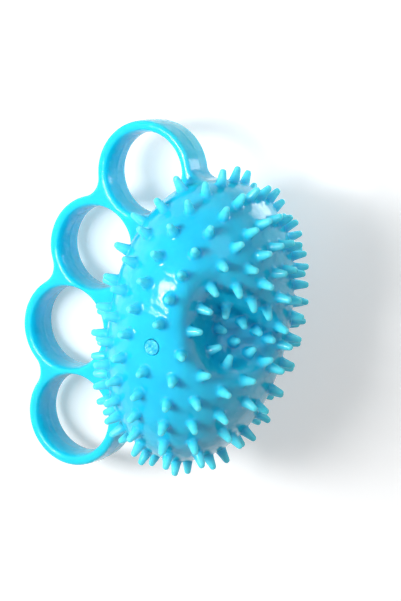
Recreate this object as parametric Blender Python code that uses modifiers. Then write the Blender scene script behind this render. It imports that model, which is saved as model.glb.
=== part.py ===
"""A hand grip strengthener: a hollow spiky squeeze ball with a row of four finger loops.

The ball is soft PVC, filled with air and closed by a small plug. It is modelled in its squeezed
shape: drawn out along the row of loops, flattened across it, and dented on the thumb's side.

The grip frame has its origin at the ball's centre. Its X runs from the loops to the thumb's side,
its Y along the row of loops, and its Z along the loops' own axis, towards the air plug.
"""

import math

import bmesh
import bpy
from mathutils import Matrix, Vector

MM = 0.001

# The ball, as it is squeezed. It is a superellipsoid, a little fuller than an ellipsoid, and its end
# by the first loop is the fatter one.
BALL_HALF = (27.5 * MM, 48.0 * MM, 35.0 * MM)
BALL_FULLNESS = 2.2
BALL_TAPER = 0.03
WALL = 2.3 * MM
GAP = 0.3 * MM
SKIN_SEGMENTS = 40
SKIN_RINGS = 24

# The squeeze has slanted the ball's rings of spikes, shifted them to the thumb's side and bent them
# round the thumb. The slant is a slope, and the bend is in metres for each square metre.
RING_SLANT = 0.168
RING_SHIFT = 2.2 * MM
RING_BEND = 0.4

# The ball's skin is divided along the slanted rings: the fingers' side, the belt, the thumb's side.
BELT_FINGER_EDGE = -10.4 * MM
BELT_THUMB_EDGE = 6.7 * MM

# The dent: a round-ended trough that opens off the thumb's side of the ball. Its axes are those of
# the trough: along it, across it, and straight out of its floor.
DENT_RIGHT = Vector((0.865, 0.178, -0.468)).normalized()
DENT_UP = Vector((-0.265, 0.956, -0.125)).normalized()
DENT_OUT = DENT_RIGHT.cross(DENT_UP)
DENT_FLOOR = 14.0 * MM
DENT_FLOOR_SLOPE = 0.35
DENT_RADIUS = 11.0 * MM
DENT_END = 8.4 * MM
DENT_END_STEEPNESS = 1.6
DENT_MIDDLE = -2.5 * MM
DENT_SLANT = 0.13
DENT_ROUND_SHARE = 0.8
DENT_WALL_SLOPE = 1.35
DENT_LIP = 3.0 * MM

# The spikes stand in rings round the grip axis, from the middle ring (0) out to the poles (5 and -5).
# Each ring is RING_STEP degrees from the last, less a loss that draws the outer rings together. The
# phase is a ring's first place, counted in spikes from the air plug's turn.
SPIKE_HEIGHT = 5.2 * MM
SPIKE_ROOT = 1.0 * MM
SPIKE_BASE_RADIUS = 2.05 * MM
SPIKE_TIP_RADIUS = 1.25 * MM
SPIKE_SIDES = 6
SPIKE_SPIN = math.radians(13.0)
SPIKES_IN_RING = {0: 32, 1: 30, 2: 26, 3: 20, 4: 12, 5: 5}
RING_PHASE = {
    -5: 0.5,
    -4: 0.0,
    -3: 0.5,
    -2: 0.5,
    -1: 0.8,
    0: 0.0,
    1: 0.05,
    2: 0.8,
    3: 0.4,
    4: 0.0,
    5: 0.5,
}
RING_START = math.pi / 2 + 0.03
RING_STEP = 18.6
RING_STEP_LOSS = 0.45
RING_SAMPLES = 720
WEB_CLEARANCE = 3.2 * MM

# The finger loops. Their centres are in the plane of the row.
LOOP_CENTRES = (
    Vector((-27.6, 45.6)) * MM,
    Vector((-41.2, 16.7)) * MM,
    Vector((-46.4, -13.1)) * MM,
    Vector((-38.6, -42.6)) * MM,
)
LOOP_BORE = 13.5 * MM
LOOP_OUTSIDE = 18.0 * MM
LOOP_DEPTH = 14.0 * MM
LOOP_EDGE = 1.5 * MM
NECK_FILLET = 6.0 * MM
FOOT_FILLET = 4.5 * MM
FOOT_FROM = math.radians(45.0)
FOOT_TO = math.radians(120.0)
FOOT_HALVINGS = 40
ROOT_SHARE = 0.5
ARC_STEP = math.radians(13.0)
WEB_THICKNESS = 2.6 * MM
# Half of the break in the web behind each loop. The first loop's bore reaches the ball's skin.
WEB_BREAKS = (7.0 * MM, GAP / 2, GAP / 2, GAP / 2)
HINGE_X = -27.0 * MM

# The air plug and its socket, near the ball's top in the grip frame, in a spike's place.
PLUG_PLACE = Vector((1.6, -2.0)) * MM
PLUG_HEAD_RADIUS = 2.5 * MM
PLUG_HEAD_LENGTH = 2.3 * MM
PLUG_PROUD = 0.3 * MM
PLUG_STEM_RADIUS = 1.5 * MM
PLUG_STEM_LENGTH = 8.0 * MM
SOCKET_RADIUS = 2.8 * MM
SOCKET_DROP = 0.9 * MM
SOCKET_LENGTH = 9.0 * MM
PLUG_HOLE_LENGTH = 20.0 * MM
TURNED_STEPS = 20

# How the part lies on a table: on the spikes under the ball and on its third loop. The table's
# plane, z = 0, flattens what rests on it by half a millimetre.
LIE_PITCH = math.radians(31.5)
LIE_ROLL = math.radians(0.25)
BALL_CENTRE = Vector((11.05, -1.48, 38.56)) * MM

# Wider than the whole part.
SPACE = 200.0 * MM


def clear_scene():
    for old in list(bpy.data.objects):
        bpy.data.objects.remove(old)


def new_collection(name, hidden=False):
    collection = bpy.data.collections.new(name)
    collection.hide_render = hidden
    bpy.context.scene.collection.children.link(collection)
    return collection


def plastic(name, colour, roughness):
    material = bpy.data.materials.new(name)
    material.use_nodes = True
    shader = material.node_tree.nodes["Principled BSDF"]
    shader.inputs["Base Color"].default_value = (*colour, 1.0)
    shader.inputs["Roughness"].default_value = roughness
    shader.inputs["Metallic"].default_value = 0.0
    return material


clear_scene()
PARTS = new_collection("hand_grip_strengthener")
CUTTERS = new_collection("cutters", hidden=True)


def empty(name, parent, location):
    helper = bpy.data.objects.new(name, None)
    helper.parent = parent
    helper.location = location
    PARTS.objects.link(helper)
    return helper


def add_part(name, mesh, material, parent, origin=Vector((0.0, 0.0, 0.0))):
    """A part whose mesh is given in the grip frame, and whose own origin is moved to `origin`."""
    mesh.transform(Matrix.Translation(-origin))
    mesh.name = name
    mesh.materials.clear()
    mesh.materials.append(material)
    part = bpy.data.objects.new(name, mesh)
    part.parent = parent
    part.location = origin - parent_offset(parent)
    PARTS.objects.link(part)
    return part


def parent_offset(parent):
    """Where a helper empty stands in the grip frame."""
    return Vector(parent.location) if parent.parent else Vector((0.0, 0.0, 0.0))


def add_cutter(name, mesh, parent):
    """A tool for the Booleans. It is not rendered, and it shows as wires."""
    cutter = bpy.data.objects.new(name, mesh)
    cutter.parent = parent
    cutter.hide_render = True
    cutter.display_type = "WIRE"
    CUTTERS.objects.link(cutter)
    return cutter


def boolean(part, operation, tool):
    modifier = part.modifiers.new(f"{operation.lower()}_{tool.name}", "BOOLEAN")
    modifier.operation = operation
    modifier.solver = "EXACT"
    modifier.object = tool
    return modifier


def mesh_of(bm, name):
    mesh = bpy.data.meshes.new(name)
    bm.to_mesh(mesh)
    bm.free()
    return mesh


def signed_power(value, power):
    return math.copysign(abs(value) ** power, value)


def trough_rise(distance):
    """How far the dent's wall has risen above its floor at this distance from the trough's axis."""
    round_reach = DENT_ROUND_SHARE * DENT_RADIUS
    inside = min(distance, round_reach)
    rise = DENT_RADIUS - math.sqrt(DENT_RADIUS**2 - inside**2)
    return rise + DENT_WALL_SLOPE * max(0.0, distance - round_reach)


def dented(point):
    """Pushes a point of the round ball down to the dent's floor, with a soft lip round the dent."""
    along = point.dot(DENT_RIGHT)
    across = point.dot(DENT_UP) - DENT_MIDDLE + DENT_SLANT * along
    distance = math.hypot(DENT_END_STEEPNESS * max(0.0, DENT_END - along), across)
    floor = DENT_FLOOR - DENT_FLOOR_SLOPE * max(0.0, along - DENT_END)
    above = point.dot(DENT_OUT) - floor - trough_rise(distance)
    pressed = above + DENT_LIP * math.log1p(math.exp(-above / DENT_LIP))
    return point - DENT_OUT * pressed


def ball_point(polar, turn, grow=0.0, dent=True):
    """A point of the skin: `polar` is the angle from the fingers' pole, `turn` goes round the grip axis."""
    power = 2.0 / BALL_FULLNESS
    half = [size + grow for size in BALL_HALF]
    ring = abs(math.sin(polar)) ** power
    point = Vector(
        (
            -half[0] * signed_power(math.cos(polar), power),
            half[1] * ring * signed_power(math.cos(turn), power),
            half[2] * ring * signed_power(math.sin(turn), power),
        )
    )
    point *= 1.0 + BALL_TAPER * point.y / half[1]
    return dented(point) if dent else point


def skin_normal(polar, turn, dent=True):
    """The outward normal of the skin, from two short steps across it."""
    step = 0.01
    polar = min(max(polar, 2.0 * step), math.pi - 2.0 * step)
    down = ball_point(polar + step, turn, dent=dent) - ball_point(polar - step, turn, dent=dent)
    round_ = ball_point(polar, turn + step, dent=dent) - ball_point(polar, turn - step, dent=dent)
    return round_.cross(down).normalized()


def ball_solid(name, depth=0.0, grow=0.0, dent=True):
    """A closed ball: a sphere whose points are moved to the skin, `depth` below it, or grown evenly."""
    bm = bmesh.new()
    bmesh.ops.create_uvsphere(
        bm, u_segments=SKIN_SEGMENTS, v_segments=SKIN_RINGS, radius=1.0
    )
    for vert in bm.verts:
        polar = math.acos(max(-1.0, min(1.0, vert.co.z)))
        turn = math.atan2(vert.co.y, vert.co.x)
        place = ball_point(polar, turn, grow, dent)
        if depth:
            place -= skin_normal(polar, turn, dent) * depth
        vert.co = place
    bm.normal_update()
    bmesh.ops.recalc_face_normals(bm, faces=bm.faces)
    return mesh_of(bm, name)


def box_mesh(name, low, high):
    bm = bmesh.new()
    bmesh.ops.create_cube(bm, size=1.0)
    size = high - low
    for vert in bm.verts:
        vert.co = Vector(
            (low[i] + size[i] * (vert.co[i] + 0.5) for i in range(3))
        )
    return mesh_of(bm, name)


def half_space(name, point, normal, parent):
    """A big block that holds everything on the normal's side of a plane across the loops' row."""
    sideways = Vector((-normal.y, normal.x, 0.0))
    block = box_mesh(name, Vector((0.0, -SPACE, -SPACE)), Vector((SPACE, SPACE, SPACE)))
    turn = Matrix((normal, sideways, Vector((0.0, 0.0, 1.0)))).transposed().to_4x4()
    block.transform(Matrix.Translation(point) @ turn)
    return add_cutter(name, block, parent)


def ring_polar(ring):
    """The polar angle of a ring of spikes on the free ball. The rings draw together at the poles."""
    offset = RING_STEP * abs(ring) - RING_STEP_LOSS * ring**2
    return math.radians(90.0 + math.copysign(offset, ring))


def even_turns(polar, count, phase):
    """Turns that stand at equal distances along a ring, from the air plug's turn onwards."""
    turns = [RING_START + 2.0 * math.pi * i / RING_SAMPLES for i in range(RING_SAMPLES + 1)]
    places = [ball_point(polar, turn, dent=False) for turn in turns]
    lengths = [0.0]
    for before, after in zip(places, places[1:]):
        lengths.append(lengths[-1] + (after - before).length)
    found = []
    for k in range(count):
        goal = (k + phase) * lengths[-1] / count
        step = next(i for i in range(1, RING_SAMPLES + 1) if lengths[i] >= goal)
        share = (goal - lengths[step - 1]) / (lengths[step] - lengths[step - 1])
        found.append(turns[step - 1] + share * (turns[step] - turns[step - 1]))
    return found


def squeezed_angles(polar, turn):
    """Where the squeeze has moved a place of the skin: its new polar angle and turn."""
    place = ball_point(polar, turn, dent=False)
    place.x += RING_SHIFT + RING_SLANT * place.y + RING_BEND * place.y**2
    shares = [abs(place[i] / BALL_HALF[i]) ** BALL_FULLNESS for i in range(3)]
    x, y, z = (
        math.copysign(math.sqrt(share / sum(shares)), place[i]) for i, share in enumerate(shares)
    )
    return math.acos(-x), math.atan2(z, y)


def under_web(place):
    """Whether a spike's root would meet the web or a loop."""
    flat = Vector((place.x, place.y))
    if abs(place.z) > LOOP_DEPTH / 2 + WEB_CLEARANCE:
        return False
    reach = LOOP_OUTSIDE + WEB_CLEARANCE
    if any((flat - centre).length < reach for centre in LOOP_CENTRES):
        return True
    feet = foot_fillet(LOOP_CENTRES[0], 1.0)[1], foot_fillet(LOOP_CENTRES[-1], -1.0)[1]
    if any((flat - root).length < SPIKE_BASE_RADIUS + WEB_CLEARANCE for root in feet):
        return True
    return place.x < LOOP_CENTRES[0].x + LOOP_BORE and abs(place.y) < LOOP_CENTRES[0].y


def spike_places(ring):
    """Root point and direction of each spike of a ring. The plug takes one place in the middle ring."""
    free_polar = ring_polar(ring)
    places = []
    for free_turn in even_turns(free_polar, SPIKES_IN_RING[abs(ring)], RING_PHASE[ring]):
        polar, turn = squeezed_angles(free_polar, free_turn)
        place = ball_point(polar, turn)
        at_plug = place.z > 0.0 and (place.xy - PLUG_PLACE).length < SOCKET_RADIUS
        if not at_plug and not under_web(place):
            places.append((place, skin_normal(polar, turn)))
    return places


def spikes_mesh(name, rings):
    """The spikes of some rings, as blunt six-sided cones that start inside the skin."""
    bm = bmesh.new()
    depth = SPIKE_HEIGHT + SPIKE_ROOT
    up = Vector((0.0, 0.0, 1.0))
    for ring in rings:
        for place, normal in spike_places(ring):
            middle = place + normal * (SPIKE_HEIGHT - SPIKE_ROOT) / 2
            turned = up.rotation_difference(normal).to_matrix().to_4x4()
            turned @= Matrix.Rotation(SPIKE_SPIN, 4, "Z")
            bmesh.ops.create_cone(
                bm,
                cap_ends=True,
                segments=SPIKE_SIDES,
                radius1=SPIKE_BASE_RADIUS,
                radius2=SPIKE_TIP_RADIUS,
                depth=depth,
                matrix=Matrix.Translation(middle) @ turned,
            )
    return mesh_of(bm, name)


def turned_part(name, profile, material, parent, origin):
    """A turned part: a profile of (radius, height) from top to bottom, closed on the axis."""
    mesh = bpy.data.meshes.new(name)
    points = [(radius, 0.0, height) for radius, height in profile]
    edges = [(i, i + 1) for i in range(len(points) - 1)]
    if profile[0][0] > 0.0:
        edges.append((len(points) - 1, 0))
    mesh.from_pydata(points, edges, [])
    mesh.materials.append(material)
    part = bpy.data.objects.new(name, mesh)
    part.parent = parent
    part.location = origin
    PARTS.objects.link(part)
    screw = part.modifiers.new("turn", "SCREW")
    screw.steps = TURNED_STEPS
    screw.render_steps = TURNED_STEPS
    screw.use_merge_vertices = True
    screw.merge_threshold = 0.00001
    screw.use_smooth_shade = True
    return part


def arc(centre, radius, start, end):
    """Points on an arc, from one angle to another, a near-even step apart."""
    count = max(2, round(abs(end - start) / ARC_STEP))
    angles = [start + (end - start) * i / count for i in range(count + 1)]
    return [centre + Vector((math.cos(a), math.sin(a))) * radius for a in angles]


def angle_of(vector):
    return math.atan2(vector.y, vector.x)


def near(angle, goal):
    """The same direction as `angle`, counted on the turn nearest to `goal`."""
    return angle + 2.0 * math.pi * round((goal - angle) / (2.0 * math.pi))


def outside_fillet(first, second):
    """Centre of the fillet that rounds the notch between two loops, on the side away from the ball."""
    reach = LOOP_OUTSIDE + NECK_FILLET
    span = second - first
    out = Vector((span.y, -span.x)).normalized()
    if out.x > 0.0:
        out = -out
    return first + span / 2 + out * math.sqrt(reach**2 - (span.length / 2) ** 2)


def ball_outline(polar, side, grow):
    """A point of the ball's outline in the plane of the loops, and the same point moved out."""
    turn = 0.0 if side > 0.0 else math.pi
    root = ball_point(polar, turn, dent=False)
    out = skin_normal(polar, turn, dent=False)
    return Vector((root.x, root.y)), Vector((root.x + out.x * grow, root.y + out.y * grow))


def foot_fillet(centre, side):
    """Centre and root of the fillet between an end loop and the ball, found by halving the range."""
    reach = LOOP_OUTSIDE + FOOT_FILLET
    low, high = FOOT_FROM, FOOT_TO
    for _ in range(FOOT_HALVINGS):
        middle = (low + high) / 2
        root, place = ball_outline(middle, side, FOOT_FILLET)
        if (place - centre).length < reach:
            low = middle
        else:
            high = middle
    return place, root


def band_outline():
    """The outline of the row of loops and of its web, from the upper foot round to the lower foot."""
    first, last = LOOP_CENTRES[0], LOOP_CENTRES[-1]
    upper, upper_root = foot_fillet(first, 1.0)
    lower, lower_root = foot_fillet(last, -1.0)
    necks = [outside_fillet(a, b) for a, b in zip(LOOP_CENTRES, LOOP_CENTRES[1:])]
    points = [Vector((0.0, upper_root.y * ROOT_SHARE))]
    root_angle = angle_of(upper_root - upper)
    points += arc(upper, FOOT_FILLET, root_angle, near(angle_of(first - upper), root_angle - 1.0))
    start = angle_of(upper - first)
    for centre, neck, following in zip(LOOP_CENTRES, necks, LOOP_CENTRES[1:]):
        end = near(angle_of(neck - centre), start + 2.2)
        points += arc(centre, LOOP_OUTSIDE, start, end)
        turn = angle_of(centre - neck)
        points += arc(neck, NECK_FILLET, turn, near(angle_of(following - neck), turn - 1.0))
        start = angle_of(neck - following)
    points += arc(last, LOOP_OUTSIDE, start, near(angle_of(lower - last), start + 2.8))
    root_angle = angle_of(last - lower)
    points += arc(lower, FOOT_FILLET, root_angle, near(angle_of(lower_root - lower), root_angle - 1.0))
    points.append(Vector((0.0, lower_root.y * ROOT_SHARE)))
    return points


def add_spline(curve, points):
    spline = curve.splines.new("POLY")
    spline.points.add(len(points) - 1)
    for place, point in zip(spline.points, points):
        place.co = (point.x, point.y, 0.0, 1.0)
    spline.use_cyclic_u = True


def band_mesh():
    """The whole row of loops with its web, as one slab with rounded edges and four holes."""
    curve = bpy.data.curves.new("band", "CURVE")
    curve.dimensions = "2D"
    curve.fill_mode = "BOTH"
    curve.extrude = LOOP_DEPTH / 2 - LOOP_EDGE
    curve.bevel_depth = LOOP_EDGE
    curve.bevel_resolution = 1
    curve.offset = -LOOP_EDGE
    add_spline(curve, band_outline())
    for centre in LOOP_CENTRES:
        add_spline(curve, arc(centre, LOOP_BORE, 0.0, 2.0 * math.pi)[:-1])
    slab = bpy.data.objects.new("band", curve)
    PARTS.objects.link(slab)
    graph = bpy.context.evaluated_depsgraph_get()
    mesh = bpy.data.meshes.new_from_object(slab.evaluated_get(graph))
    bpy.data.objects.remove(slab)
    bm = bmesh.new()
    bm.from_mesh(mesh)
    bmesh.ops.remove_doubles(bm, verts=bm.verts, dist=0.00001)
    bmesh.ops.recalc_face_normals(bm, faces=bm.faces)
    bm.to_mesh(mesh)
    bm.free()
    return mesh


def make_loops(frame, hinge, band, material, table):
    """The four finger loops, each an arch that stands on the web."""
    root = add_cutter("web_root", ball_solid("web_root", grow=WEB_THICKNESS + GAP, dent=False), frame)
    hinge_point = Vector(hinge.location)
    for i, name in enumerate(("first", "second", "third", "fourth")):
        loop = add_part(f"finger_loop_{name}", band.copy(), material, hinge, hinge_point)
        boolean(loop, "DIFFERENCE", root)
        for other in (i - 1, i + 1):
            if 0 <= other < len(LOOP_CENTRES):
                span = LOOP_CENTRES[i] - LOOP_CENTRES[other]
                flat = LOOP_CENTRES[other] + span / 2 + span.normalized() * GAP / 2
                plane = half_space(
                    f"loop_{i}_side_{other}",
                    flat.to_3d(),
                    span.normalized().to_3d(),
                    frame,
                )
                boolean(loop, "INTERSECT", plane)
        if name == "third":
            boolean(loop, "DIFFERENCE", table)


def make_webs(frame, band, material):
    """The web between the loops and the ball, divided behind each loop."""
    skin = add_cutter("skin_space", ball_solid("skin_space", grow=GAP, dent=False), frame)
    top = add_cutter("web_top", ball_solid("web_top", grow=WEB_THICKNESS, dent=False), frame)
    names = ("upper_foot", "first_web", "middle_web", "last_web", "lower_foot")
    for i, name in enumerate(names):
        web = add_part(f"loop_{name}", band.copy(), material, frame)
        for loop, side in ((i - 1, -1.0), (i, 1.0)):
            if 0 <= loop < len(LOOP_CENTRES):
                centre = LOOP_CENTRES[loop]
                across = Vector((-centre.y, centre.x)).normalized() * -side
                plane = half_space(
                    f"web_{i}_side_{loop}",
                    (centre + across * WEB_BREAKS[loop]).to_3d(),
                    across.to_3d(),
                    frame,
                )
                boolean(web, "INTERSECT", plane)
        boolean(web, "INTERSECT", top)
        boolean(web, "DIFFERENCE", skin)


def make_skin(frame, material, table):
    """The hollow ball in its three zones, each with its spikes. Slanted slabs divide it."""
    outer = ball_solid("ball_skin")
    inner = add_cutter("ball_inside", ball_solid("ball_inside", depth=WALL), frame)
    bm = bmesh.new()
    bmesh.ops.create_cone(
        bm,
        cap_ends=True,
        segments=TURNED_STEPS,
        radius1=PLUG_HEAD_RADIUS + GAP,
        radius2=PLUG_HEAD_RADIUS + GAP,
        depth=PLUG_HOLE_LENGTH,
        matrix=Matrix.Translation((*PLUG_PLACE, BALL_HALF[2])),
    )
    plug_hole = add_cutter("plug_hole", mesh_of(bm, "plug_hole"), frame)
    zones = (
        ("ball_skin_finger_side", -SPACE, BELT_FINGER_EDGE, range(-5, -1)),
        ("ball_skin_belt", BELT_FINGER_EDGE, BELT_THUMB_EDGE, range(-1, 1)),
        ("ball_skin_thumb_side", BELT_THUMB_EDGE, SPACE, range(1, 6)),
    )
    slant = math.atan(RING_SLANT)
    for name, start, end, rings in zones:
        skin = add_part(name, outer.copy(), material, frame)
        low = Vector((start * math.cos(slant) + GAP / 2, -SPACE, -SPACE))
        high = Vector((end * math.cos(slant) - GAP / 2, SPACE, SPACE))
        slab_mesh = box_mesh(f"{name}_slab", low, high)
        slab_mesh.transform(Matrix.Rotation(-slant, 4, "Z"))
        slab = add_cutter(f"{name}_slab", slab_mesh, frame)
        spikes = add_cutter(f"{name}_spikes", spikes_mesh(f"{name}_spikes", rings), frame)
        boolean(skin, "INTERSECT", slab)
        boolean(skin, "DIFFERENCE", inner)
        boolean(skin, "UNION", spikes)
        if name == "ball_skin_belt":
            boolean(skin, "DIFFERENCE", plug_hole)
        boolean(skin, "DIFFERENCE", table)


def make_plug(frame, material, plug_material):
    """The air plug, and the socket inside the skin that grips its stem."""
    plug_profile = (
        (0.0, PLUG_PROUD),
        (PLUG_HEAD_RADIUS, PLUG_PROUD),
        (PLUG_HEAD_RADIUS, -PLUG_HEAD_LENGTH),
        (PLUG_STEM_RADIUS, -PLUG_HEAD_LENGTH),
        (PLUG_STEM_RADIUS, -PLUG_HEAD_LENGTH - PLUG_STEM_LENGTH),
        (0.0, -PLUG_HEAD_LENGTH - PLUG_STEM_LENGTH),
    )
    top = Vector((*PLUG_PLACE, BALL_HALF[2]))
    turned_part("air_plug", plug_profile, plug_material, frame, top)
    bore = PLUG_STEM_RADIUS + GAP
    socket_profile = (
        (bore, -SOCKET_DROP),
        (SOCKET_RADIUS, -SOCKET_DROP),
        (SOCKET_RADIUS, -SOCKET_DROP - SOCKET_LENGTH),
        (bore, -SOCKET_DROP - SOCKET_LENGTH),
    )
    shoulder = top - Vector((0.0, 0.0, PLUG_HEAD_LENGTH))
    turned_part("air_plug_socket", socket_profile, material, frame, shoulder)


def main():
    skin = plastic("soft_pvc_cyan", (0.03, 0.62, 0.90), 0.25)
    plug = plastic("plug_pvc_cyan", (0.05, 0.50, 0.75), 0.45)
    frame = empty("grip_frame", None, BALL_CENTRE)
    frame.rotation_euler = (
        Matrix.Rotation(-LIE_PITCH, 3, "Y") @ Matrix.Rotation(LIE_ROLL, 3, "X")
    ).to_euler()
    hinge = empty("loop_band_hinge", frame, Vector((HINGE_X, 0.0, LOOP_DEPTH / 2)))
    table_mesh = box_mesh(
        "table", Vector((-SPACE, -SPACE, -SPACE)), Vector((SPACE, SPACE, 0.0))
    )
    table = add_cutter("table", table_mesh, None)
    band = band_mesh()
    make_skin(frame, skin, table)
    make_webs(frame, band, skin)
    make_loops(frame, hinge, band, skin, table)
    make_plug(frame, skin, plug)


main()
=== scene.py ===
"""The looks of a hand grip strengthener: a hollow spiky squeeze ball with a row of four finger loops.

The whole grip is one moulding of glossy soft PVC in cyan blue, with a small air plug pressed in.
All places are first worked out in the grip frame, whose origin is the ball's centre: X runs from
the loops to the thumb's side, Y along the row of loops, and Z along the loops' own axis.
"""

import math

import bmesh
import bpy
import numpy as np
from mathutils import Matrix, Vector
from mathutils.bvhtree import BVHTree


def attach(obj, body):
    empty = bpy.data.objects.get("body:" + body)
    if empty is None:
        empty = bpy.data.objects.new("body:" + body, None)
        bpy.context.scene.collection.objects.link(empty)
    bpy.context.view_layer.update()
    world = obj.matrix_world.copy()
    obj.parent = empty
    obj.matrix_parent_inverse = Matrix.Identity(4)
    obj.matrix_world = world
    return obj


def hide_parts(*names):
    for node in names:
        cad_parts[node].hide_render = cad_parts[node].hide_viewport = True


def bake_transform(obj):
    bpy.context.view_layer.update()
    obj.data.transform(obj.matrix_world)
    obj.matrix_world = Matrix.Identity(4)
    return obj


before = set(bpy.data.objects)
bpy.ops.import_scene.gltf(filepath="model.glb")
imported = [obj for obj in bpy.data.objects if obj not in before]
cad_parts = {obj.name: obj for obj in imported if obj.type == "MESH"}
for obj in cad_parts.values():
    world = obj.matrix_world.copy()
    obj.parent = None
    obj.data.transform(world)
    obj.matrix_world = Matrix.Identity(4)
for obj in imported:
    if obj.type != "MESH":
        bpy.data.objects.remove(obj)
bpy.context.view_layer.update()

MM = 0.001

# The grip frame in the row frame: the grip lies on the spikes under its ball and on its third loop.
GRIP = (
    Matrix.Translation((11.05 * MM, -1.48 * MM, 38.56 * MM))
    @ Matrix.Rotation(-math.radians(31.5), 4, "Y")
    @ Matrix.Rotation(math.radians(0.25), 4, "X")
)


# ---------------------------------------------------------------------------------------------
# The ball: the outside of a hollow superellipsoid of soft PVC, in its squeezed shape. A dent runs
# off its thumb's side, between two lobes that bulge beside it.
# ---------------------------------------------------------------------------------------------
BALL_HALF = (27.5 * MM, 48.0 * MM, 35.0 * MM)
BALL_FULLNESS = 2.2
BALL_POWER = 2.0 / BALL_FULLNESS
BALL_TAPER = 0.03
DENT_RIGHT = Vector((0.865, 0.178, -0.468)).normalized()
DENT_UP = Vector((-0.265, 0.956, -0.125)).normalized()
DENT_OUT = DENT_RIGHT.cross(DENT_UP)
DENT_FLOOR = 14.0 * MM
DENT_FLOOR_SLOPE = 0.35
DENT_RADIUS = 11.0 * MM
DENT_END = 8.4 * MM
DENT_END_STEEPNESS = 1.6
DENT_MIDDLE = -2.5 * MM
DENT_SLANT = 0.13
DENT_ROUND = 0.8 * DENT_RADIUS
DENT_WALL_SLOPE = 1.35
DENT_LIP = 3.0 * MM
SKIN_SEGMENTS = 240
SKIN_RINGS = 150
NORMAL_STEP = 0.01
PLUG_HOLE_RADIUS = 2.75 * MM
PLUG_HOLE_DEPTH = 11.0 * MM


def pressed_in(point):
    """How far the dent has pushed a point of the round ball in, with a soft lip round the dent."""
    along = point.dot(DENT_RIGHT)
    across = point.dot(DENT_UP) - DENT_MIDDLE + DENT_SLANT * along
    distance = math.hypot(DENT_END_STEEPNESS * max(0.0, DENT_END - along), across)
    inside = min(distance, DENT_ROUND)
    rise = DENT_RADIUS - math.sqrt(DENT_RADIUS**2 - inside**2)
    rise += DENT_WALL_SLOPE * max(0.0, distance - DENT_ROUND)
    floor = DENT_FLOOR - DENT_FLOOR_SLOPE * max(0.0, along - DENT_END)
    above = (point.dot(DENT_OUT) - floor - rise) / DENT_LIP
    return DENT_LIP * (above + math.log1p(math.exp(-above))) if above > -30.0 else 0.0


def signed_power(value, power):
    return math.copysign(abs(value) ** power, value)


def ball_point(polar, turn, dent=True):
    """A point of the skin: `polar` is counted from the loops' pole, `turn` goes round the grip axis."""
    ring = abs(math.sin(polar)) ** BALL_POWER
    point = Vector(
        (
            -BALL_HALF[0] * signed_power(math.cos(polar), BALL_POWER),
            BALL_HALF[1] * ring * signed_power(math.cos(turn), BALL_POWER),
            BALL_HALF[2] * ring * signed_power(math.sin(turn), BALL_POWER),
        )
    )
    point *= 1.0 + BALL_TAPER * point.y / BALL_HALF[1]
    return point - DENT_OUT * pressed_in(point) if dent else point


def skin_normal(polar, turn):
    """The outward normal of the skin, from two short steps across it."""
    step = NORMAL_STEP
    polar = min(max(polar, 2.0 * step), math.pi - 2.0 * step)
    down = ball_point(polar + step, turn) - ball_point(polar - step, turn)
    around = ball_point(polar, turn + step) - ball_point(polar, turn - step)
    return around.cross(down).normalized()


def skin_mesh():
    """The ball's outer skin as a closed shell, without its spikes and the plug's hole."""
    bm = bmesh.new()
    bmesh.ops.create_uvsphere(bm, u_segments=SKIN_SEGMENTS, v_segments=SKIN_RINGS, radius=1.0)
    for vert in bm.verts:
        polar = math.acos(max(-1.0, min(1.0, vert.co.z)))
        vert.co = ball_point(polar, math.atan2(vert.co.y, vert.co.x))
    bm.normal_update()
    bmesh.ops.recalc_face_normals(bm, faces=bm.faces)
    bm.normal_update()
    return bm


# ---------------------------------------------------------------------------------------------
# The spikes: solid blunt cones of the same PVC, moulded with the skin in rings round the grip
# axis. The squeeze slants the rings, shifts them to the thumb's side and bends them round it.
# ---------------------------------------------------------------------------------------------
SPIKE_HEIGHT = 5.2 * MM
SPIKE_BASE_RADIUS = 1.78 * MM
SPIKE_TIP_RADIUS = 1.15 * MM
SPIKE_TIP_EDGE = 1.0 * MM
SPIKE_FLARE = 0.35 * MM
SPIKE_ROOT = 1.2 * MM
SPIKE_SIDES = 20
SPIKE_HEIGHT_SCATTER = 0.04
SPIKE_LEAN_SCATTER = 0.05
SPIKES_IN_RING = {0: 32, 1: 30, 2: 26, 3: 20, 4: 12, 5: 5}
RING_PHASE = dict(zip(range(-5, 6), (0.5, 0.0, 0.5, 0.5, 0.8, 0.0, 0.05, 0.8, 0.4, 0.0, 0.5)))
RING_START = math.pi / 2 + 0.03
RING_SLANT = 0.168
RING_SHIFT = 2.2 * MM
RING_BEND = 0.4
RING_STEP = 18.6
RING_STEP_LOSS = 0.45
RING_SAMPLES = 720
PLUG_PLACE = Vector((1.6, -2.0)) * MM
PLUG_CLEARANCE = 3.0 * MM
WEB_CLEARANCE = 3.2 * MM
FOOT_CLEARANCE = 5.25 * MM


def ring_polar(ring):
    """The polar angle of a ring of spikes on the free ball. The rings draw together at the poles."""
    offset = RING_STEP * abs(ring) - RING_STEP_LOSS * ring**2
    return math.radians(90.0 + math.copysign(offset, ring))


def even_turns(polar, count, phase):
    """Turns that stand at equal distances along a ring, from the air plug's turn onwards."""
    turns = [RING_START + 2.0 * math.pi * i / RING_SAMPLES for i in range(RING_SAMPLES + 1)]
    places = [ball_point(polar, turn, dent=False) for turn in turns]
    lengths = [0.0]
    for before, after in zip(places, places[1:]):
        lengths.append(lengths[-1] + (after - before).length)
    goals = [(k + phase) * lengths[-1] / count for k in range(count)]
    return list(np.interp(goals, lengths, turns))


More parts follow.
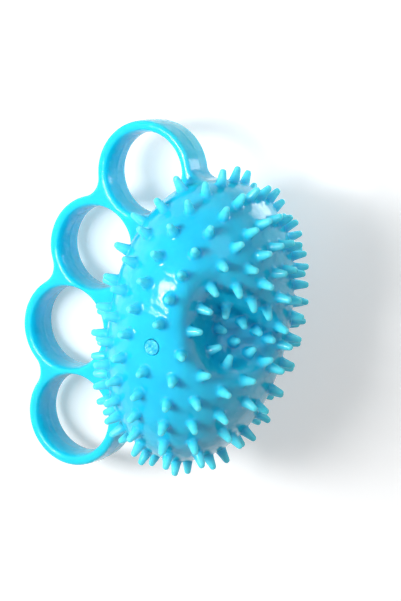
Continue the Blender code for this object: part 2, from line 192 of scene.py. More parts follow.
def squeezed_angles(polar, turn):
    """Where the squeeze has moved a place of the skin: its new polar angle and turn."""
    place = ball_point(polar, turn, dent=False)
    place.x += RING_SHIFT + RING_SLANT * place.y + RING_BEND * place.y**2
    shares = [abs(place[i] / BALL_HALF[i]) ** BALL_FULLNESS for i in range(3)]
    x, y, z = (
        math.copysign(math.sqrt(share / sum(shares)), place[i]) for i, share in enumerate(shares)
    )
    return math.acos(-x), math.atan2(z, y)


def under_web(place):
    """Whether a spike's root would meet the web or a loop."""
    flat = Vector((place.x, place.y))
    if abs(place.z) > LOOP_DEPTH / 2 + WEB_CLEARANCE:
        return False
    reach = LOOP_OUTSIDE + WEB_CLEARANCE
    if any((flat - centre).length < reach for centre in LOOP_CENTRES):
        return True
    feet = foot_fillet(LOOP_CENTRES[0], 1.0)[1], foot_fillet(LOOP_CENTRES[-1], -1.0)[1]
    if any((flat - root).length < FOOT_CLEARANCE for root in feet):
        return True
    return place.x < LOOP_CENTRES[0].x + LOOP_BORE and abs(place.y) < LOOP_CENTRES[0].y


def spike_places():
    """Root point and direction of every spike."""
    for ring in range(-5, 6):
        free_polar = ring_polar(ring)
        for free_turn in even_turns(free_polar, SPIKES_IN_RING[abs(ring)], RING_PHASE[ring]):
            polar, turn = squeezed_angles(free_polar, free_turn)
            place = ball_point(polar, turn)
            at_plug = place.z > 0.0 and (place.xy - PLUG_PLACE).length < PLUG_CLEARANCE
            if not at_plug and not under_web(place):
                yield place, skin_normal(polar, turn)


def spike_profile():
    """Radius and height up a spike: the flared root, the slanting side and the rounded tip."""
    profile = [(SPIKE_BASE_RADIUS + SPIKE_FLARE, -SPIKE_ROOT)]
    for share in (0.0, 0.25, 0.5, 1.0):
        radius = SPIKE_BASE_RADIUS + SPIKE_FLARE * (1.0 - share) ** 2
        profile.append((radius, 2.0 * SPIKE_FLARE * share))
    middle = SPIKE_TIP_RADIUS - SPIKE_TIP_EDGE
    shoulder = SPIKE_HEIGHT - SPIKE_TIP_EDGE
    for i in range(6):
        angle = math.pi / 2 * i / 5.0
        profile.append(
            (
                middle + SPIKE_TIP_EDGE * math.cos(angle),
                shoulder + SPIKE_TIP_EDGE * math.sin(angle),
            )
        )
    profile.append((0.0, SPIKE_HEIGHT))
    return profile


def add_spikes(bm):
    """Turns the profile round each spike's own axis."""
    profile = spike_profile()
    up = Vector((0.0, 0.0, 1.0))
    rng = np.random.default_rng(11)
    for place, normal in spike_places():
        height = 1.0 + rng.uniform(-SPIKE_HEIGHT_SCATTER, SPIKE_HEIGHT_SCATTER)
        lean = Vector(rng.uniform(-SPIKE_LEAN_SCATTER, SPIKE_LEAN_SCATTER, 3))
        turned = up.rotation_difference((normal + lean).normalized()).to_matrix()
        rings = []
        for radius, level in profile[:-1]:
            ring = []
            for k in range(SPIKE_SIDES):
                angle = 2.0 * math.pi * k / SPIKE_SIDES
                local = Vector((radius * math.cos(angle), radius * math.sin(angle), level * height))
                ring.append(bm.verts.new(place + turned @ local))
            rings.append(ring)
        tip = bm.verts.new(place + turned @ Vector((0.0, 0.0, profile[-1][1] * height)))
        for low, high in zip(rings, rings[1:]):
            for k in range(SPIKE_SIDES):
                after = (k + 1) % SPIKE_SIDES
                bm.faces.new((low[k], low[after], high[after], high[k]))
        for k in range(SPIKE_SIDES):
            bm.faces.new((rings[-1][k], rings[-1][(k + 1) % SPIKE_SIDES], tip))
        bm.faces.new(list(reversed(rings[0])))
    return bm


# ---------------------------------------------------------------------------------------------
# The row of finger loops: four round arches of the same PVC, 4.5 mm thick and 14 mm deep, which
# share their walls where they meet and root in the ball through a web with a foot at each end.
# ---------------------------------------------------------------------------------------------
LOOP_CENTRES = (
    Vector((-27.6, 45.6)) * MM,
    Vector((-41.2, 16.7)) * MM,
    Vector((-46.4, -13.1)) * MM,
    Vector((-38.6, -42.6)) * MM,
)
LOOP_BORE = 13.5 * MM
LOOP_OUTSIDE = 18.0 * MM
LOOP_DEPTH = 14.0 * MM
LOOP_EDGE = 1.55 * MM
NECK_FILLET = 6.0 * MM
FOOT_FILLET = 4.5 * MM
ARC_STEP = math.radians(5.0)


def arc(centre, radius, start, end):
    """Points on an arc, from one angle to another, a near-even step apart."""
    count = max(2, round(abs(end - start) / ARC_STEP))
    angles = [start + (end - start) * i / count for i in range(count + 1)]
    return [centre + Vector((math.cos(a), math.sin(a))) * radius for a in angles]


def angle_of(vector):
    return math.atan2(vector.y, vector.x)


def near(angle, goal):
    """The same direction as `angle`, counted on the turn nearest to `goal`."""
    return angle + 2.0 * math.pi * round((goal - angle) / (2.0 * math.pi))


def neck_centre(first, second):
    """Centre of the fillet in the notch between two loops, on the side away from the ball."""
    reach = LOOP_OUTSIDE + NECK_FILLET
    span = second - first
    out = Vector((span.y, -span.x)).normalized()
    out *= math.copysign(1.0, -out.x)
    return first + span / 2 + out * math.sqrt(reach**2 - (span.length / 2) ** 2)


def foot_fillet(centre, side):
    """Centre and root of the fillet between an end loop and the ball, found by halving the range."""
    turn = 0.0 if side > 0.0 else math.pi
    low, high = math.radians(45.0), math.radians(120.0)
    for _ in range(40):
        polar = (low + high) / 2
        root = ball_point(polar, turn, dent=False).to_2d()
        place = root + skin_normal(polar, turn).to_2d() * FOOT_FILLET
        if (place - centre).length < LOOP_OUTSIDE + FOOT_FILLET:
            low = polar
        else:
            high = polar
    return place, root


def band_outline():
    """The outline of the row and its web, from the upper foot round to the lower foot."""
    first, last = LOOP_CENTRES[0], LOOP_CENTRES[-1]
    upper, upper_root = foot_fillet(first, 1.0)
    lower, lower_root = foot_fillet(last, -1.0)
    points = [Vector((0.0, upper_root.y * 0.5))]
    turn = angle_of(upper_root - upper)
    points += arc(upper, FOOT_FILLET, turn, near(angle_of(first - upper), turn - 1.0))
    start = angle_of(upper - first)
    for centre, following in zip(LOOP_CENTRES, LOOP_CENTRES[1:]):
        neck = neck_centre(centre, following)
        points += arc(centre, LOOP_OUTSIDE, start, near(angle_of(neck - centre), start + 2.2))
        turn = angle_of(centre - neck)
        points += arc(neck, NECK_FILLET, turn, near(angle_of(following - neck), turn - 1.0))
        start = angle_of(neck - following)
    points += arc(last, LOOP_OUTSIDE, start, near(angle_of(lower - last), start + 2.8))
    turn = angle_of(last - lower)
    points += arc(lower, FOOT_FILLET, turn, near(angle_of(lower_root - lower), turn - 1.0))
    points.append(Vector((0.0, lower_root.y * 0.5)))
    return points


def band_mesh():
    """The row as one slab with rounded edges and four holes."""
    curve = bpy.data.curves.new("band", "CURVE")
    curve.dimensions = "2D"
    curve.fill_mode = "BOTH"
    curve.extrude = LOOP_DEPTH / 2 - LOOP_EDGE
    curve.bevel_depth = LOOP_EDGE
    curve.bevel_resolution = 5
    curve.offset = -LOOP_EDGE
    holes = [arc(centre, LOOP_BORE, 0.0, 2.0 * math.pi)[:-1] for centre in LOOP_CENTRES]
    for points in [band_outline(), *holes]:
        spline = curve.splines.new("POLY")
        spline.points.add(len(points) - 1)
        for place, point in zip(spline.points, points):
            place.co = (point.x, point.y, 0.0, 1.0)
        spline.use_cyclic_u = True
    slab = bpy.data.objects.new("band", curve)
    bpy.context.collection.objects.link(slab)
    graph = bpy.context.evaluated_depsgraph_get()
    mesh = bpy.data.meshes.new_from_object(slab.evaluated_get(graph))
    bpy.data.objects.remove(slab)
    bm = bmesh.new()
    bm.from_mesh(mesh)
    bmesh.ops.remove_doubles(bm, verts=bm.verts, dist=0.01 * MM)
    bmesh.ops.recalc_face_normals(bm, faces=bm.faces)
    return bm


# ---------------------------------------------------------------------------------------------
# The mould: it fuses the ball, its spikes and the band to skins without seams, and rounds every
# inner corner, as in the real moulding.
# ---------------------------------------------------------------------------------------------
VOXEL = 0.36 * MM


def fused(name, *shells):
    """One closed skin round several closed shells."""
    joined = bmesh.new()
    for shell in shells:
        mesh = bpy.data.meshes.new("shell")
        shell.to_mesh(mesh)
        joined.from_mesh(mesh)
        bpy.data.meshes.remove(mesh)
    mesh = bpy.data.meshes.new(name)
    joined.to_mesh(mesh)
    joined.free()
    piece = bpy.data.objects.new(name, mesh)
    bpy.context.collection.objects.link(piece)
    remesh = piece.modifiers.new("mould", "REMESH")
    remesh.mode = "VOXEL"
    remesh.voxel_size = VOXEL
    bake_modifiers(piece)
    return piece


def bake_modifiers(piece):
    """Makes the piece's modifiers part of its mesh."""
    graph = bpy.context.evaluated_depsgraph_get()
    mesh = bpy.data.meshes.new_from_object(piece.evaluated_get(graph))
    piece.modifiers.clear()
    piece.data = mesh


def carve(piece, shape):
    """Takes a closed shell's space away from a piece, and frees the shell."""
    mesh = bpy.data.meshes.new("carver")
    shape.to_mesh(mesh)
    shape.free()
    tool = bpy.data.objects.new("carver", mesh)
    bpy.context.collection.objects.link(tool)
    cut = piece.modifiers.new("carve", "BOOLEAN")
    cut.operation = "DIFFERENCE"
    cut.solver = "EXACT"
    cut.object = tool
    bake_modifiers(piece)
    bpy.data.objects.remove(tool)


def points_of(mesh):
    places = np.empty(len(mesh.vertices) * 3)
    mesh.vertices.foreach_get("co", places)
    return places.reshape(-1, 3)


def place_points(mesh, places):
    mesh.vertices.foreach_set("co", places.astype(np.float32).ravel())
    mesh.update()


def smooth(mesh, rounds, share):
    """Eases each point towards its neighbours' middle; `share` is one number or one per point."""
    places = points_of(mesh)
    edges = np.empty(len(mesh.edges) * 2, dtype=np.int64)
    mesh.edges.foreach_get("vertices", edges)
    a, b = edges.reshape(-1, 2).T
    count = np.bincount(a, minlength=len(places)) + np.bincount(b, minlength=len(places))
    share = np.broadcast_to(share, len(places))[:, None]
    for _ in range(rounds):
        middle = np.empty_like(places)
        for k in range(3):
            total = np.bincount(a, places[b, k], len(places))
            total += np.bincount(b, places[a, k], len(places))
            middle[:, k] = total / count
        places += (middle - places) * share
    place_points(mesh, places)


def heights(tree, places):
    """Signed distance of each point from a shell: above zero is outside."""
    found = np.empty(len(places))
    for i, place in enumerate(places):
        at, normal, _, distance = tree.find_nearest(place)
        found[i] = math.copysign(distance, (Vector(place) - at).dot(normal))
    return found


def mask(mesh, name, values):
    layer = mesh.attributes.new(name, "FLOAT", "POINT")
    layer.data.foreach_set("value", np.clip(values, 0.0, 1.0).astype(np.float32))


def settle(piece):
    """Takes a piece from the grip frame to the row frame, and flattens it where it rests."""
    piece.data.transform(GRIP)
    places = points_of(piece.data)
    places[:, 2] = np.maximum(places[:, 2], 0.0)
    place_points(piece.data, places)
    for polygon in piece.data.polygons:
        polygon.use_smooth = True


skin = skin_mesh()
skin_tree = BVHTree.FromBMesh(skin)
band = band_mesh()
band_tree = BVHTree.FromBMesh(band)


# ---------------------------------------------------------------------------------------------
# The ball as it leaves the mould: skin and spikes in one piece, with the hole for the air plug.
# ---------------------------------------------------------------------------------------------
DENT_SHADE_RANGE = 9.0 * MM


def drill(piece, radius, depth, place):
    """Sinks a round hole into the top of the ball, straight down the grip frame's Z."""
    bm = bmesh.new()
    bmesh.ops.create_cone(
        bm,
        cap_ends=True,
        segments=48,
        radius1=radius,
        radius2=radius,
        depth=depth * 2.0,
        matrix=Matrix.Translation(place),
    )
    carve(piece, bm)


ball = fused("spiky_ball", add_spikes(skin.copy()))
smooth(ball.data, 2, 0.5)
drill(ball, PLUG_HOLE_RADIUS, PLUG_HOLE_DEPTH, (*PLUG_PLACE, BALL_HALF[2]))
places = points_of(ball.data)
# On the finished skin, what the dent would still press in is about 2 mm in the dent and next to
# nothing away from it, so it marks the dent for painted shade, a deeper colour.
near_dent = np.array([pressed_in(Vector(place)) for place in places])
# The spike mask is each point's height above the skin; it paints a paler glow up the spikes.
mask(ball.data, "spike", heights(skin_tree, places) / SPIKE_HEIGHT)
mask(ball.data, "hollow", near_dent / DENT_SHADE_RANGE)
mask(ball.data, "thin", np.zeros(len(places)))
settle(ball)

# ---------------------------------------------------------------------------------------------
# The band of loops as it leaves the mould. It swells into the ball with a soft fillet all round
# its root, and its buried root ends a few millimetres under the ball's skin. The loops' walls are
# crowned, most of all in their bores, with a fine ridge where the mould's halves part.
# ---------------------------------------------------------------------------------------------
ROOT_SPREAD = 2.4 * MM
ROOT_SINK = 1.6 * MM
ROOT_SINK_TOP = 1.0 * MM
ROOT_DEPTH = 5.0 * MM
ROOT_END = -2.5 * MM
OUTER_CROWN = 0.35 * MM
BORE_CROWN = 0.95 * MM
CROWN_POWER = 2.5
CROWN_START = 1.5 * MM
CROWN_RANGE = 2.5 * MM
PARTING_RIDGE = 0.16 * MM
PARTING_WIDTH = 0.42 * MM
THIN_START = 1.0 * MM
THIN_RANGE = 6.0 * MM


def keep_side(bm, point, normal):
    """Cuts a shell with a plane, keeps the side that the normal points to, and closes the cut."""
    whole = bm.verts[:] + bm.edges[:] + bm.faces[:]
    cut = bmesh.ops.bisect_plane(bm, geom=whole, plane_co=point, plane_no=normal, clear_inner=True)
    rim = [item for item in cut["geom_cut"] if isinstance(item, bmesh.types.BMEdge)]
    bmesh.ops.holes_fill(bm, edges=rim, sides=0)


def bore_share(places, normals):
    """How squarely each point faces the middle of its own loop, from 0 to 1."""
    centres = np.array([tuple(centre) for centre in LOOP_CENTRES])
    spokes = centres[None] - places[:, None, :2]
    spans = np.linalg.norm(spokes, axis=2)
    nearest = np.arange(len(places)), spans.argmin(axis=1)
    share = np.einsum("ij,ij->i", spokes[nearest], normals[:, :2]) / spans[nearest]
    return np.clip(share, 0.0, 1.0) * (spans[nearest] < LOOP_OUTSIDE - 1.0 * MM)


def crown_drop(places, normals):
    """How far each point of the loops sinks from the straight wall, towards its rims."""
    level = places[:, 2]
    wall = 1.0 - np.abs(normals[:, 2])
    drop = OUTER_CROWN * wall + (BORE_CROWN - OUTER_CROWN * wall) * bore_share(places, normals)
    drop *= np.minimum(1.0, np.abs(2.0 * level / LOOP_DEPTH)) ** CROWN_POWER
    return drop + PARTING_RIDGE * (1.0 - np.exp(-((level / PARTING_WIDTH) ** 2))) * wall


def soften_root(piece):
    """Eases the corner between the band and the ball to a fillet."""
    smooth(piece.data, 3, 0.5)
    places = points_of(piece.data)
    from_skin = heights(skin_tree, places)
    from_band = heights(band_tree, places)
    apart = np.maximum(np.abs(from_skin), np.abs(from_band)) / ROOT_SPREAD
    smooth(piece.data, 60, 0.5 * np.exp(-(apart**2)))


def crown_loops(piece):
    """Crowns the loops' walls, and sinks the fillet's far edge under the ball's skin."""
    places = points_of(piece.data)
    from_skin = heights(skin_tree, places)
    from_band = heights(band_tree, places)
    normals = np.empty(places.size)
    piece.data.vertices.foreach_get("normal", normals)
    normals = normals.reshape(-1, 3)
    fade = np.clip((from_band - ROOT_SPREAD) / ROOT_SPREAD, 0.0, 1.0)
    sunk = ROOT_SINK * fade * fade * (3.0 - 2.0 * fade) * (from_skin < ROOT_SINK_TOP)
    free = np.clip((from_skin - CROWN_START) / CROWN_RANGE, 0.0, 1.0)
    sunk += crown_drop(places, normals) * free
    place_points(piece.data, places - normals * sunk[:, None])
    smooth(piece.data, 3, 0.5 * free)


def cut_root(piece):
    """Cuts the ball away from the band, all but the root just under the ball's skin."""
    bm = bmesh.new()
    bm.from_mesh(piece.data)
    reach = LOOP_DEPTH / 2 + 2.4 * ROOT_SPREAD
    keep_side(bm, (ROOT_END, 0.0, 0.0), (-1.0, 0.0, 0.0))
    keep_side(bm, (0.0, 0.0, reach), (0.0, 0.0, -1.0))
    keep_side(bm, (0.0, 0.0, -reach), (0.0, 0.0, 1.0))
    bm.to_mesh(piece.data)
    bm.free()
    core = bmesh.new()
    bmesh.ops.create_uvsphere(core, u_segments=48, v_segments=24, radius=1.0)
    for vert in core.verts:
        polar = math.acos(max(-1.0, min(1.0, vert.co.z)))
        place = ball_point(polar, math.atan2(vert.co.y, vert.co.x), dent=False)
        vert.co = place * (1.0 - ROOT_DEPTH / place.length)
    bmesh.ops.recalc_face_normals(core, faces=core.faces)
    carve(piece, core)


loops = fused("finger_loop_band", skin, band)
soften_root(loops)
crown_loops(loops)
cut_root(loops)
from_skin = heights(skin_tree, points_of(loops.data))
mask(loops.data, "spike", np.zeros(len(from_skin)))
mask(loops.data, "hollow", np.zeros(len(from_skin)))
# Distance out from the ball's skin marks the loops for a painted glow of light through them.
mask(loops.data, "thin", (from_skin - THIN_START) / THIN_RANGE)
settle(loops)


# ---------------------------------------------------------------------------------------------
# The soft PVC itself: cyan through and through, glossy, a little translucent, with faint clouds
# in its colour, the soft waviness of a cast skin, and fine handling marks that dull its gloss.
# Painted light is mixed into its colour: a pale painted glow in the spikes, a greener painted
# glow in the loops as if light shone through them, and painted shade round the dent.
# ---------------------------------------------------------------------------------------------
CYAN = (0.003, 0.52, 0.78, 1.0)
CYAN_CLOUD = (0.012, 0.58, 0.84, 1.0)
DENT_SHADE_CYAN = (0.002, 0.26, 0.46, 1.0)
SPIKE_GLOW_CYAN = (0.11, 0.72, 0.94, 1.0)
LIT_THROUGH = (0.012, 0.76, 0.85, 1.0)


def skin_group():
    """Cast soft plastic: its clouds, its dull marks and its waviness, at sizes in millimetres."""
    group = bpy.data.node_groups.new("cast_soft_plastic", "ShaderNodeTree")
    sockets = group.interface
    for name, value in (("Cloud size", 9.0), ("Wave height", 0.5)):
        socket = sockets.new_socket(name, in_out="INPUT", socket_type="NodeSocketFloat")
        socket.default_value = value
    for name, kind in (("Cloud", "Float"), ("Dullness", "Float"), ("Normal", "Vector")):
        sockets.new_socket(name, in_out="OUTPUT", socket_type=f"NodeSocket{kind}")
    nodes, links = group.nodes, group.links
    inputs = nodes.new("NodeGroupInput")
    outputs = nodes.new("NodeGroupOutput")
    where = nodes.new("ShaderNodeTexCoord").outputs["Object"]
    density = nodes.new("ShaderNodeMath")
    density.operation = "DIVIDE"
    density.inputs[0].default_value = 1.0 / MM
    links.new(inputs.outputs["Cloud size"], density.inputs[1])
    cloud = nodes.new("ShaderNodeTexNoise")
    cloud.inputs["Detail"].default_value = 3.0
    links.new(where, cloud.inputs["Vector"])
    links.new(density.outputs[0], cloud.inputs["Scale"])
    links.new(cloud.outputs["Fac"], outputs.inputs["Cloud"])
    marks = nodes.new("ShaderNodeTexNoise")
    marks.inputs["Scale"].default_value = 420.0
    marks.inputs["Detail"].default_value = 6.0
    marks.inputs["Roughness"].default_value = 0.7
    links.new(where, marks.inputs["Vector"])
    picked = nodes.new("ShaderNodeMapRange")
    picked.inputs["From Min"].default_value = 0.45
    picked.inputs["From Max"].default_value = 0.75
    links.new(marks.outputs["Fac"], picked.inputs["Value"])
    links.new(picked.outputs["Result"], outputs.inputs["Dullness"])
    wave = nodes.new("ShaderNodeTexNoise")
    wave.inputs["Scale"].default_value = 210.0
    wave.inputs["Detail"].default_value = 2.0
    links.new(where, wave.inputs["Vector"])
    grain = nodes.new("ShaderNodeTexNoise")
    grain.inputs["Scale"].default_value = 2600.0
    grain.inputs["Detail"].default_value = 2.0
    links.new(where, grain.inputs["Vector"])
    fine = nodes.new("ShaderNodeBump")
    fine.inputs["Strength"].default_value = 0.06
    fine.inputs["Distance"].default_value = 0.0002
    links.new(grain.outputs["Fac"], fine.inputs["Height"])
    swell = nodes.new("ShaderNodeBump")
    swell.inputs["Distance"].default_value = 0.0012
    links.new(inputs.outputs["Wave height"], swell.inputs["Strength"])
    links.new(wave.outputs["Fac"], swell.inputs["Height"])
    links.new(fine.outputs["Normal"], swell.inputs["Normal"])
    links.new(swell.outputs["Normal"], outputs.inputs["Normal"])
    return group


CAST = skin_group()


def colour_mix(nodes, links, first, second, share):
    """A colour mixed from two others, each a colour or an output."""
    mix = nodes.new("ShaderNodeMix")
    mix.data_type = "RGBA"
    for index, item in ((6, first), (7, second)):
        if isinstance(item, tuple):
            mix.inputs[index].default_value = item
        else:
            links.new(item, mix.inputs[index])
    links.new(share, mix.inputs[0])
    return mix.outputs[2]


def span(nodes, links, source, low, high, start=0.0, end=1.0):
    """A value carried from one range to another."""
    ranged = nodes.new("ShaderNodeMapRange")
    ranged.inputs["From Min"].default_value = low
    ranged.inputs["From Max"].default_value = high
    ranged.inputs["To Min"].default_value = start
    ranged.inputs["To Max"].default_value = end
    links.new(source, ranged.inputs["Value"])
    return ranged.outputs["Result"]


def soft_pvc():
    """The moulding's plastic, with painted shade in the dent and a painted glow in spikes and loops."""
    material = bpy.data.materials.new("glossy_soft_pvc")
    material.use_nodes = True
    nodes, links = material.node_tree.nodes, material.node_tree.links
    shader = nodes["Principled BSDF"]
    cast = nodes.new("ShaderNodeGroup")
    cast.node_tree = CAST
    cast.inputs["Cloud size"].default_value = 14.0
    cast.inputs["Wave height"].default_value = 0.35
    masks = {}
    for name in ("spike", "hollow", "thin"):
        attribute = nodes.new("ShaderNodeAttribute")
        attribute.attribute_name = name
        masks[name] = attribute.outputs["Fac"]
    clouds = span(nodes, links, cast.outputs["Cloud"], 0.3, 0.7)
    body = colour_mix(nodes, links, CYAN, CYAN_CLOUD, clouds)
    # Painted shade: the colour darkens towards a deep cyan round the dent.
    dent_shade = span(nodes, links, masks["hollow"], 0.0, 1.0, 0.0, 0.6)
    body = colour_mix(nodes, links, body, DENT_SHADE_CYAN, dent_shade)
    # Painted glow: the spikes turn paler towards their tips, as if light shone through them.
    spike_glow = span(nodes, links, masks["spike"], 0.05, 0.5, 0.0, 0.85)
    body = colour_mix(nodes, links, body, SPIKE_GLOW_CYAN, spike_glow)
    # Painted light: the loops turn greener and brighter away from the ball, as if lit through.
    lit_through = span(nodes, links, masks["thin"], 0.0, 1.0, 0.0, 0.4)
    body = colour_mix(nodes, links, body, LIT_THROUGH, lit_through)
    links.new(body, shader.inputs["Base Color"])
    gloss = span(nodes, links, cast.outputs["Dullness"], 0.0, 1.0, 0.09, 0.24)
    links.new(gloss, shader.inputs["Roughness"])
    links.new(cast.outputs["Normal"], shader.inputs["Normal"])
    shader.inputs["IOR"].default_value = 1.53
    shader.inputs["Specular IOR Level"].default_value = 0.22
    shader.inputs["Subsurface Weight"].default_value = 0.8
    shader.inputs["Subsurface Radius"].default_value = (0.3, 0.9, 1.0)
    shader.inputs["Subsurface Scale"].default_value = 0.005
    shader.inputs["Coat Weight"].default_value = 0.12
    shader.inputs["Coat Roughness"].default_value = 0.05
    return material


PVC = soft_pvc()
ball.data.materials.append(PVC)
loops.data.materials.append(PVC)


def at(x, y, z):
    """A point of the grip frame, in the row frame."""
    return GRIP @ Vector((x * MM, y * MM, z * MM))


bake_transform(ball)
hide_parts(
    "ball_skin_finger_side",
    "ball_skin_belt",
    "ball_skin_thumb_side",
    "air_plug_socket",
)
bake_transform(loops)
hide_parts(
    "finger_loop_first",
    "finger_loop_second",
    "finger_loop_third",
    "finger_loop_fourth",
    "loop_upper_foot",
    "loop_first_web",
    "loop_middle_web",
    "loop_last_web",
    "loop_lower_foot",
)


# ---------------------------------------------------------------------------------------------
# The air plug: a small PVC stopper pushed into its hole, with a blunt stem. Its face is left
# rough and lumpy where it was trimmed off.
# ---------------------------------------------------------------------------------------------
PLUG_RADIUS = 2.5 * MM
PLUG_STEM_RADIUS = 1.5 * MM
PLUG_FACE = BALL_HALF[2] + 0.3 * MM
PLUG_HEAD = 2.6 * MM
PLUG_LENGTH = 10.6 * MM
PLUG_SIDES = 64
PLUG_BEVEL = 0.14
LUMP_HEIGHT = 0.11 * MM
LUMP_DEPTH = 0.1 * MM
TRIMMED_DARK = (0.004, 0.42, 0.72, 1.0)
TRIMMED_LIGHT = (0.07, 0.62, 0.90, 1.0)


def plug_mesh():
    """The stopper's profile, turned round its axis, with a lumpy face."""
    profile = [(PLUG_RADIUS * share, 0.0) for share in np.linspace(0.06, 0.86, 12)]
    bevel = PLUG_BEVEL * PLUG_RADIUS
    for i in range(1, 6):
        angle = math.pi / 2 * i / 5.0
        profile.append(
            (PLUG_RADIUS - bevel + bevel * math.sin(angle), -bevel + bevel * math.cos(angle))
        )
    profile += [
        (PLUG_RADIUS, -PLUG_HEAD),
        (PLUG_STEM_RADIUS, -PLUG_HEAD),
        (PLUG_STEM_RADIUS, -PLUG_LENGTH + 0.4 * MM),
        (PLUG_STEM_RADIUS * 0.7, -PLUG_LENGTH),
    ]
    bm = bmesh.new()
    rings = []
    for radius, level in profile:
        ring = []
        for k in range(PLUG_SIDES):
            turn = 2.0 * math.pi * k / PLUG_SIDES
            x, y = radius * math.cos(turn), radius * math.sin(turn)
            lump = 0.0
            if level > -LUMP_DEPTH:
                lump = math.sin(x * 3900.0 + 0.7) * math.sin(y * 3300.0 + 1.9)
                lump += 0.6 * math.sin(x * 7100.0 + y * 5200.0)
                lump *= LUMP_HEIGHT * (1.0 - (radius / PLUG_RADIUS) ** 6)
            place = Vector((x, y, PLUG_FACE + level + lump - LUMP_DEPTH))
            ring.append(bm.verts.new(place + PLUG_PLACE.to_3d()))
        rings.append(ring)
    for low, high in zip(rings, rings[1:]):
        for k in range(PLUG_SIDES):
            after = (k + 1) % PLUG_SIDES
            bm.faces.new((high[k], high[after], low[after], low[k]))
    bm.faces.new(rings[0])
    bm.faces.new(list(reversed(rings[-1])))
    bmesh.ops.recalc_face_normals(bm, faces=bm.faces)
    mesh = bpy.data.meshes.new("moulded_air_plug")
    bm.to_mesh(mesh)
    bm.free()
    return mesh


def plug_pvc():
    """The plug's plastic: the same PVC, mottled and duller where it was trimmed."""
    material = bpy.data.materials.new("trimmed_plug_pvc")
    material.use_nodes = True
    nodes, links = material.node_tree.nodes, material.node_tree.links
    shader = nodes["Principled BSDF"]
    cast = nodes.new("ShaderNodeGroup")
    cast.node_tree = CAST
    cast.inputs["Cloud size"].default_value = 1.3
    cast.inputs["Wave height"].default_value = 0.8
    clouds = span(nodes, links, cast.outputs["Cloud"], 0.35, 0.65)
    body = colour_mix(nodes, links, TRIMMED_DARK, TRIMMED_LIGHT, clouds)
    links.new(body, shader.inputs["Base Color"])
    gloss = span(nodes, links, cast.outputs["Dullness"], 0.0, 1.0, 0.25, 0.5)
    links.new(gloss, shader.inputs["Roughness"])
    links.new(cast.outputs["Normal"], shader.inputs["Normal"])
    shader.inputs["IOR"].default_value = 1.53
    shader.inputs["Specular IOR Level"].default_value = 0.25
    shader.inputs["Subsurface Weight"].default_value = 0.3
    shader.inputs["Subsurface Radius"].default_value = (0.4, 0.9, 1.0)
    shader.inputs["Subsurface Scale"].default_value = 0.002
    return material


plug = bpy.data.objects.new("moulded_air_plug", plug_mesh())
bpy.context.collection.objects.link(plug)
plug.data.materials.append(plug_pvc())
settle(plug)
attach(plug, "air_plug")
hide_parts("air_plug")


# ---------------------------------------------------------------------------------------------
# The studio: a pale floor that fades into a white surround, window light from the left, a weak
# broad light from the far side, a small low one at the right end, and the camera, which looks
# almost straight down.
# ---------------------------------------------------------------------------------------------
FLOOR_HALF = 2.0
FLOOR_GREY = 0.86
FLOOR_FADE_START, FLOOR_FADE_END = 0.14, 0.60
FLOOR_GLOW = 0.30
SURROUND_LIGHT = 0.25
PHOTO_HEIGHT = 601.0
FOCAL_LENGTH = 1860.0
SENSOR = 24.0
CAMERA_DISTANCE = 620.0 * MM
CAMERA_RIGHT = 0.17 * MM
CAMERA_UP = 8.17 * MM


def area_light(name, place, aim, size, height, power):
    lamp = bpy.data.lights.new(name, "AREA")
    lamp.shape = "RECTANGLE"
    lamp.size = size
    lamp.size_y = height
    lamp.energy = power
    light = bpy.data.objects.new(name, lamp)
    light.location = place
    light.rotation_euler = (Vector(aim) - Vector(place)).to_track_quat("-Z", "Y").to_euler()
    bpy.context.collection.objects.link(light)
    return light


def seen_share(nodes, links):
    """One where the camera sees a surface, straight, mirrored or through another, and else zero."""
    rays = nodes.new("ShaderNodeLightPath")
    seen = rays.outputs["Is Camera Ray"]
    for name in ("Is Glossy Ray", "Is Transmission Ray"):
        total = nodes.new("ShaderNodeMath")
        links.new(seen, total.inputs[0])
        links.new(rays.outputs[name], total.inputs[1])
        seen = total.outputs[0]
    return seen


middle = GRIP.translation
area_light("window", middle + Vector((-0.42, 0.06, 0.42)), middle, 0.15, 0.25, 3.8)
area_light("far_side", middle + Vector((0.28, 0.50, 0.56)), middle, 0.50, 0.50, 1.1)
right_end = at(12.0, 30.0, 4.0)
low = area_light("low_right", Vector((0.060, 0.070, 0.014)), right_end, 0.02, 0.04, 0.012)
low.visible_camera = False

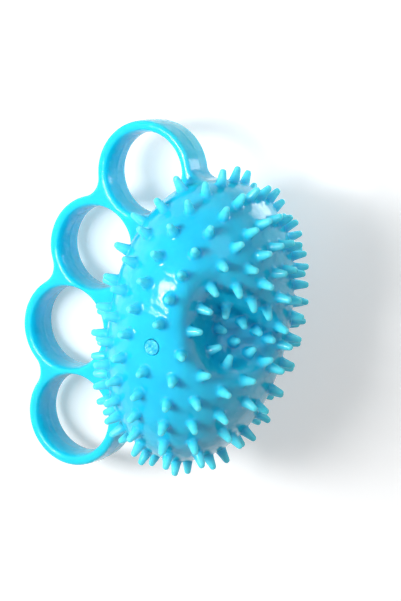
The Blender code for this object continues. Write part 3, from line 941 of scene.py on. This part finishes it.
bm = bmesh.new()
bmesh.ops.create_grid(bm, x_segments=2, y_segments=2, size=FLOOR_HALF)
mesh = bpy.data.meshes.new("floor")
bm.to_mesh(mesh)
bm.free()
floor = bpy.data.objects.new("floor", mesh)
bpy.context.collection.objects.link(floor)
paper = bpy.data.materials.new("white_paper")
paper.use_nodes = True
nodes, links = paper.node_tree.nodes, paper.node_tree.links
paper_shader = nodes["Principled BSDF"]
paper_shader.inputs["Base Color"].default_value = (FLOOR_GREY, FLOOR_GREY, FLOOR_GREY, 1.0)
paper_shader.inputs["Roughness"].default_value = 0.9
where = nodes.new("ShaderNodeTexCoord")
away = nodes.new("ShaderNodeVectorMath")
away.operation = "LENGTH"
links.new(where.outputs["Object"], away.inputs[0])
distance = away.outputs["Value"]
fade = span(nodes, links, distance, FLOOR_FADE_START, FLOOR_FADE_END, FLOOR_GLOW, 1.0)
glow = nodes.new("ShaderNodeMath")
glow.operation = "MULTIPLY"
links.new(seen_share(nodes, links), glow.inputs[0])
links.new(fade, glow.inputs[1])
paper_shader.inputs["Emission Color"].default_value = (1.0, 1.0, 1.0, 1.0)
links.new(glow.outputs[0], paper_shader.inputs["Emission Strength"])
floor.data.materials.append(paper)

world = bpy.data.worlds.new("surround")
bpy.context.scene.world = world
world.use_nodes = True
nodes, links = world.node_tree.nodes, world.node_tree.links
surround = nodes["Background"]
surround.inputs["Color"].default_value = (1.0, 1.0, 1.0, 1.0)
strength = span(nodes, links, seen_share(nodes, links), 0.0, 1.0, SURROUND_LIGHT, 1.0)
links.new(strength, surround.inputs["Strength"])

lens = bpy.data.cameras.new("camera")
lens.sensor_fit = "VERTICAL"
lens.sensor_height = SENSOR
lens.lens = SENSOR * FOCAL_LENGTH / PHOTO_HEIGHT
camera = bpy.data.objects.new("camera", lens)
turn = Matrix((DENT_RIGHT, DENT_UP, DENT_OUT)).transposed().to_4x4()
place = DENT_RIGHT * CAMERA_RIGHT + DENT_UP * CAMERA_UP + DENT_OUT * CAMERA_DISTANCE
camera.matrix_world = GRIP @ Matrix.Translation(place) @ turn
bpy.context.collection.objects.link(camera)
bpy.context.scene.camera = camera
bpy.context.scene.view_settings.view_transform = "Standard"
